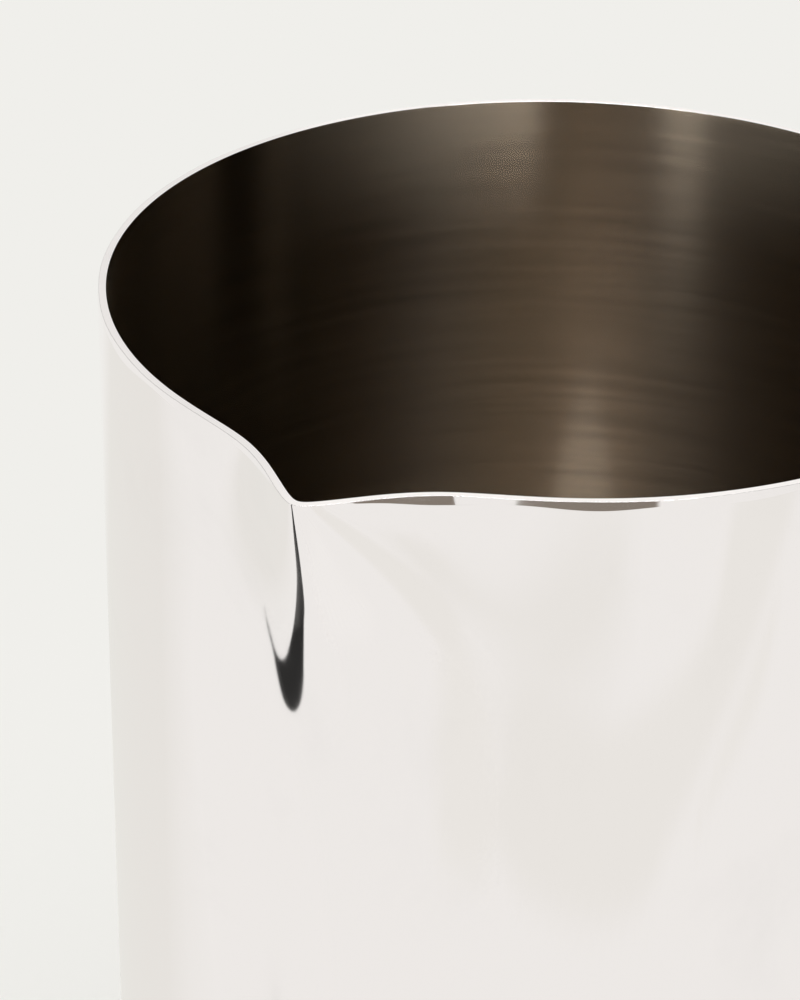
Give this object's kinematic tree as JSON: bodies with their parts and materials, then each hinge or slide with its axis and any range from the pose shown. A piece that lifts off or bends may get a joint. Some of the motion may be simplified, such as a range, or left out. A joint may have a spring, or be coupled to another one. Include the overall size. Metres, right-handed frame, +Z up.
{
  "type": "jug",
  "caption": "Straight-sided polished steel jug with a pressed V-shaped pouring lip, a satin inside and a flat-bar handle.",
  "frame": {"origin": "centre of the base plate's underside, on the surface that the jug stands on", "axes": "+Z up to the rim, +X towards the pouring lip, so the handle is on the -X side, +Y to the left of someone who looks along +X"},
  "size_m": [0.1408, 0.096, 0.165],
  "materials": {
    "polished_steel": "mirror-polished stainless steel outside, satin inside",
    "satin_steel": "satin stainless steel, brushed round the middle",
    "weld_steel": "ground and polished weld bead"
  },
  "bodies": {
    "root": {"body_wall": "polished_steel", "base_plate": "satin_steel", "base_weld": "weld_steel", "handle_bar": "polished_steel", "upper_weld": "weld_steel", "lower_weld": "weld_steel"}
  },
  "joints": []
}
